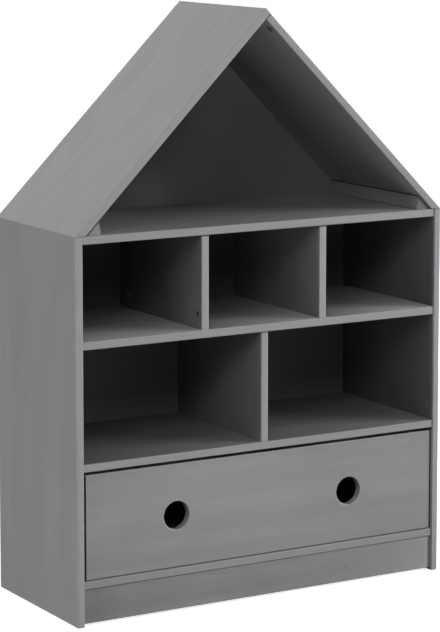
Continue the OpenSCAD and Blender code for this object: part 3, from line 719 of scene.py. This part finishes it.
LS, RS = (Q, 0.0, Q), (-Q, 0.0, Q)          # up the left and the right roof slope
RF = (-0.5, -0.7, 0.5)                      # up the right slope and to the front
UB = (0.0, 0.63, 0.777)                     # up and to the back
DB = (0.0, 0.7, -0.7)                       # down and to the back
CARCASS = [
    # node, grain, across, through, tone, knots, eases, extra; a board's tone is partly painted light and shade, set by
    # how much light reaches it
    # painted light: lighter towards the foot, on the faces and the front edge, and a little on the outer face
    ("left_side", Z, Y, X, 1.0, [(0.566, -0.142, 0.0028), (0.21, 0.062, 0.005)], "side", {"mottle": 0.75, "rings": 0.55, "edge": 1.10, "fade": (0.0, 0.74, 1.12, 1.03),
                                                                            "rim_fade": (0.03, 0.30, 0.16, 0.0), "inner": ((DB, -0.36, -0.20, 1.0, 1.04),)}),
    # painted light and shade on the inner face: darker towards the back, lighter strips at the front and the foot,
    # shadow borders in the compartments; the front edge lighter towards the foot
    ("right_side", Z, Y, X, 0.88, [(0.44, 0.05, 0.0055)], "side", {"edge": 1.10, "rim_fade": (0.0, 0.45, 0.20, 0.0), "inner": (
        (Y, -0.165, 0.165, 0.76, 0.44), (Y, -0.1655, -0.161, 1.6, 1.0), (Z, 0.286, 0.296, 1.8, 1.0), (Z, 0.06, 0.08, 1.45, 1.0),
        (Y, -0.165, 0.165, 0.85, 1.17, 0.6335, 0.1), (UB, 0.325, 0.455, 0.81, 1.28, 0.6335, 0.1), (UB, 0.45, 0.515, 1.0, 0.60, 0.6335, 0.1),
        (UB, 0.19, 0.32, 0.93, 1.21, 0.419, 0.115), (UB, 0.32, 0.45, 1.0, 0.68, 0.419, 0.115))}),
    # painted shade in the joint at the left end of the front edge, and painted light and shade on the attic floor
    ("top_shelf", X, Y, Z, 0.88, [], "shelf", {"edge": 1.06, "rim_fade": (-0.3949, -0.3939, -0.45, 0.0), "inner": (
        (X, -0.36, -0.12, 1.40, 1.0), (X, -0.30, 0.27, 0.78, 1.36), (X, 0.10, 0.30, 1.0, 1.22), (Y, -0.12, -0.03, 1.03, 0.84), (Y, 0.0, 0.15, 1.0, 1.33))}),
    # painted light and shade on the upper face: darker towards the back, lighter towards the right of each compartment,
    # dark at the foot of the dividers
    ("middle_shelf", X, Y, Z, 1.08, [], "shelf", {"edge": 1.06, "inner": (
        (Y, -0.165, 0.165, 1.24, 0.93), (X, -0.395, -0.14, 0.89, 1.38), (X, -0.134, -0.131, 1.0, 0.428),
        (X, -0.125, 0.125, 1.0, 2.55), (X, 0.131, 0.134, 1.0, 0.44), (X, 0.14, 0.34, 1.0, 2.5))}),
    # painted light and shade on the upper face: darker to the left of each compartment, lighter to the right, dark at
    # the divider's foot
    ("lower_shelf", X, Y, Z, 0.86, [], "lower_shelf", {"edge": 1.06, "inner": (
        (X, -0.395, -0.01, 0.53, 1.20), (X, -0.002, 0.002, 1.0, 0.62), (X, 0.01, 0.395, 1.0, 1.80))}),
    ("bottom_board", X, Y, Z, 1.0, [], "shelf", {}),
    # painted shade in the seam at the top of the front edge, and painted light and shade on the faces: darker towards
    # the back, with shadow borders
    ("upper_left_divider", Z, Y, X, 0.98, [], "shelf", {"rim_fade": (0.7213, 0.7221, 0.0, -0.9),
                                                      "inner": ((Y, -0.165, 0.165, 0.95, 0.45), (Y, -0.085, -0.03, 1.08, 0.86), (Y, 0.03, 0.08, 1.0, 1.16), (UB, 0.455, 0.585, 1.0, 0.84))}),
    ("upper_right_divider", Z, Y, X, 0.98, [], "shelf", {"rim_fade": (0.7213, 0.7221, 0.0, -0.9), "inner": (
        (Y, -0.165, 0.165, 1.21, 0.77), (Z, 0.55, 0.71, 0.90, 1.13), (UB, 0.325, 0.455, 0.83, 0.98), (UB, 0.455, 0.585, 1.0, 1.11))}),
    ("lower_divider", Z, Y, X, 0.98, [], "shelf", {"rim_fade": (0.5234, 0.5246, 0.0, -0.62), "inner": (
        (Y, -0.165, 0.165, 1.0, 0.60), (Z, 0.32, 0.52, 1.10, 0.90), (UB, 0.19, 0.29, 0.95, 1.30), (UB, 0.30, 0.36, 1.0, 0.60))}),
    # painted light and shade along the plinth: darker to the left, lighter near the ends, most at the shaded right
    # corner
    ("plinth", X, Z, Y, 1.0, [(0.189, 0.033, 0.0036)], "shelf", {"mottle": 2.2, "rings": 0.6, "fade": (-0.4, 0.4, 0.84, 1.10), "inner": (
        (X, -0.37, -0.31, 0.92, 1.13), (X, -0.16, -0.04, 1.0, 0.89), (X, 0.28, 0.37, 1.0, 1.07), (X, 0.379, 0.390, 1.0, 1.35))}),
    # painted light: the outer slope a little lighter at the front than at the back
    ("left_roof_panel", LS, Y, RS, 1.09, [(0.47, 0.11, 0.004)], "roof", {"mottle": 0.65, "rings": 0.5, "edge": 1.07, "inner": ((Y, -0.165, 0.165, 1.035, 0.965),)}),
    # painted shade in the joint at the ridge, and painted light and shade on the inner face
    ("right_roof_panel", RS, Y, LS, 1.12, [(0.60, -0.03, 0.005)], "roof", {"mottle": 0.8, "rings": 0.7, "edge": 0.97, "rim_fade": (0.7960, 0.7972, 0.0, -0.5), "inner": (
        (RF, 0.125, 0.36, 1.36, 1.0), (RF, 0.40, 0.63, 1.0, 1.75), (RS, 0.42, 0.68, 1.12, 0.79), (Y, 0.02, 0.08, 1.0, 0.88),
        (Y, -0.165, 0.165, 1.10, 0.94), (Y, -0.15, -0.08, 1.12, 1.0), (Y, 0.10, 0.15, 1.0, 1.30))}),
    ("left_roof_cleat", Y, X, Z, 1.0, [], "left_cleat", {"edge": 0.78}),
    # painted shadow: the front face is set much darker than the left cleat's, and dark lines run along the top and the
    # foot of the inner face
    ("right_roof_cleat", Y, X, Z, 1.1, [], "cleat", {"edge": 0.38, "inner": ((Z, 0.7656, 0.7666, 1.0, 0.12), (Z, 0.7410, 0.7428, 0.58, 1.0))}),
    # painted shade: the blocks are toned dark, their front and back faces darkest
    ("drawer_stop_blocks", X, Y, Z, 0.7, [], "block", {"edge": 0.25}),
]
DRAWER = [
    # painted light and shade on the front: a little lighter to the left and lower down, with a soft shadow along the
    # top under the shelf
    ("drawer_front", X, Z, Y, 1.03, [], "drawer", {"mottle": 1.4, "rings": 0.4, "fade": (-0.4, 0.4, 1.01, 0.965), "inner": (
        (Z, 0.19, 0.27, 1.03, 0.965), (Z, 0.274, 0.287, 1.0, 0.90), (X, -0.37, -0.35, 0.96, 1.0), (X, -0.30, -0.12, 1.0, 1.03),
        (X, 0.02, 0.12, 1.0, 0.965))}),
    ("drawer_left_side", Y, Z, X, 1.0, [], "block", {}),
    ("drawer_right_side", Y, Z, X, 1.0, [], "block", {}),
    ("drawer_back", X, Z, Y, 1.0, [], "block", {}),
]


def low_edge(mid, a, b):
    return mid.z < 0.0006


def long_edge(mid, a, b):
    return abs(a.x) < 0.5 and abs(b.x) < 0.5


def left_end(mid, a, b):
    return mid.x < -0.38 and min(a.x, b.x) < -0.9 and min(a.y, b.y) < -0.9


def low_front(mid, a, b):
    """The lower edge of a shelf's front."""
    return mid.y < -0.1 and min(a.z, b.z) < -0.9 and min(a.y, b.y) < -0.9


def cleat_foot(mid, a, b):
    """The long lower edge of a cleat's upright face."""
    return mid.z < 0.745 and max(abs(a.x), abs(b.x)) > 0.9 and max(abs(a.y), abs(b.y)) < 0.1


def front_slope(mid, a, b):
    """The front edge of a cleat's slanted face."""
    front, slope = (a, b) if a.y < b.y else (b, a)
    return front.y < -0.9 and slope.z > 0.3 and abs(slope.x) > 0.3


EASES = {
    "side": [(2.2, 5, low_edge), (0.45, 2, anywhere)],
    "shelf": [(0.35, 2, anywhere)],
    "lower_shelf": [(1.5, 4, low_front), (0.35, 2, anywhere)],
    "roof": [(0.8, 3, anywhere)],
    "cleat": [(1.8, 3, front_slope), (1.2, 3, cleat_foot), (0.6, 3, anywhere)],
    "left_cleat": [(4.4, 4, front_slope), (0.6, 3, anywhere)],
    "block": [(0.9, 3, anywhere)],
    "drawer": [(1.75, 5, long_edge), (1.3, 3, left_end), (0.5, 2, anywhere)],
}

RUB_LIGHT_SHADE = {"left_side": side_rub_light_shade, "right_side": side_rub_light_shade, "top_shelf": shelf_rub_light_shade, "middle_shelf": shelf_rub_light_shade,
        "upper_left_divider": divider_rub_light_shade, "upper_right_divider": divider_rub_light_shade, "lower_divider": divider_rub_light_shade, "lower_shelf": lower_shelf_rub_light_shade, "bottom_board": shelf_rub_light_shade, "plinth": plinth_rub_and_shade,
        "left_roof_panel": roof_rub_light_shade, "right_roof_panel": right_roof_rub_light_shade,
        "left_roof_cleat": left_cleat_rub_and_shade, "right_roof_cleat": right_cleat_rub_and_shade, "drawer_front": drawer_rub_light_shade}
UP, TO_LEFT, TO_RIGHT, TO_FRONT = (0, 0, 1), (-1, 0, 0), (1, 0, 0), (0, -1, 0)
INWARD = {"left_side": (TO_LEFT,), "right_side": (TO_LEFT,), "top_shelf": (UP,), "middle_shelf": (UP,), "lower_shelf": (UP,),
          "upper_left_divider": (TO_LEFT, TO_RIGHT), "upper_right_divider": (TO_LEFT, TO_RIGHT), "lower_divider": (TO_LEFT, TO_RIGHT),
          "left_roof_panel": ((-Q, 0, Q),), "right_roof_panel": ((-Q, 0, -Q),), "right_roof_cleat": (TO_LEFT,), "plinth": (TO_FRONT,), "drawer_front": (TO_FRONT,)}

for body, rows in (("carcass", CARCASS), ("drawer", DRAWER)):
    for i, (node, g, a, th, tone, knots, kind, extra) in enumerate(rows):
        seed = i + 1 if body == "carcass" else i + 31
        mat = painted_pine(node + "_paint", g, a, th, seed, tone, knots, **extra)
        holes = [(s * 0.1955, 0.18925, 0.0298) for s in (-1, 1)] if node == "drawer_front" else ()
        rims = node == "drawer_stop_blocks" or kind in ("side", "shelf", "lower_shelf", "roof", "cleat", "left_cleat") and node != "plinth"
        small = 0.012 if "cleat" in kind else 0.05 if node == "drawer_front" else 0.003
        board(node, mat, body, EASES[kind], holes=holes, rims=rims, rub_light_shade=RUB_LIGHT_SHADE.get(node, rub_and_light_left), inward=INWARD.get(node, ()), small=small)

hardboard = painted_hardboard("hardboard_paint")
# painted light and shade: ramps of lightness across the gable
gable_board = painted_hardboard("hardboard_paint_gable", 1.0, ((X, -0.15, 0.30, 0.73, 1.26), (X, -0.17, -0.06, 0.40, 1.07), (X, 0.02, 0.12, 1.0, 0.77), (X, 0.13, 0.25, 1.0, 0.93),
                                                                 (Z, 0.76, 0.96, 0.82, 1.15), (Z, 0.86, 0.96, 1.0, 0.88), (Z, 0.745, 0.82, 0.96, 1.0),
                                                                 (LS, 0.28, 0.58, 0.70, 1.0), (LS, 0.64, 0.79, 1.0, 1.38), (LS, 0.745, 0.785, 1.0, 1.28)))
# painted shade: the back panel is toned darker, and its ramps are painted light and shade in the compartments
shaded_back_board = painted_hardboard("hardboard_paint_back", 0.76, ((X, -0.12, 0.22, 0.88, 1.12), (X, 0.17, 0.20, 1.0, 0.80), (X, 0.24, 0.29, 1.0, 1.06),
                                                                (Z, 0.37, 0.44, 1.30, 0.85), (Z, 0.53, 0.54, 1.0, 0.88), (Z, 0.56, 0.68, 1.0, 1.36)))
board("back_panel", shaded_back_board, "carcass", [(0.25, 2, anywhere)])
board("gable_panel", gable_board, "carcass", [(0.25, 2, anywhere)])
board("drawer_bottom", hardboard, "drawer", [(0.25, 2, anywhere)])

# ---------------------------------------------------------------- the hardware

cam_zinc = zinc("zinc_cam", (0.34, 0.34, 0.335), 0.42, 0.8)
plated = zinc("zinc_plated", (0.70, 0.70, 0.68), 0.30, 0.4)
wood = beech("beech_wood")
white = nylon("nylon_white")

lock = cam_lock_mesh()
REACH = 28.0
YF, YB = -166.5, 166.5
rows = []
for x, out, z in ((-140.5, -1, 542.5), (140.5, 1, 542.5), (8.0, 1, 311.0)):
    for k, y in enumerate((YF + 20, YF + 143, YB - 43)):
        rows.append(((x, y, z + REACH), (out, 0, 0), 0.5 + 0.37 * k + x * 0.01))
show(place_many(lock, rows, "divider_cams"), "divider_cams", cam_zinc, "carcass", ("divider_cam_locks",))
rows = []
for z in (724.0, 526.5, 295.0, 71.5):
    for s in (-1, 1):
        for k, y in enumerate((YF + 40, YB - 43)):
            rows.append(((s * (395.0 - REACH), y, z), (0, 0, -1), 0.3 + 0.5 * k + z * 0.01 + s))
show(place_many(lock, rows, "shelf_cams"), "shelf_cams", cam_zinc, "carcass", ("shelf_cam_locks",))
m = 7.5 * Q
rows = []
for k, y in enumerate((YF + 20, YB - 43)):
    rows.append(((m + REACH * Q - 7.5 * Q, y, 1150.0 - 3 * m - REACH * Q - 7.5 * Q), (-Q, 0, -Q), 0.9 + k))
show(place_many(lock, rows, "roof_cams"), "roof_cams", cam_zinc, "carcass", ("roof_cam_locks",))
rows = []
for s in (-1, 1):
    for k, z in enumerate((125.0, 245.0)):
        rows.append(((s * 375.0, -146.5 + REACH, z), (-s, 0, 0), 0.4 + k * 0.8 + s))
show(place_many(lock, rows, "drawer_cams"), "drawer_cams", cam_zinc, "drawer", ("drawer_cam_locks",))
bpy.data.meshes.remove(lock)

board("drawer_glides", white, "drawer", [(0.5, 3, anywhere)])

FINISH = {
    "zinc": (plated, ["shelf_cam_bolts", "divider_cam_bolts", "roof_cam_bolts", "cleat_screws", "back_panel_pins", "gable_pins",
                      "stop_block_screws", "drawer_cam_bolts", "drawer_screws"]),
    "beech": (wood, ["shelf_dowels", "divider_dowels", "roof_dowels", "cleat_dowels", "plinth_dowels"]),
}
for mat, nodes in FINISH.values():
    for n in nodes:
        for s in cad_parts[n].material_slots:
            s.material = mat
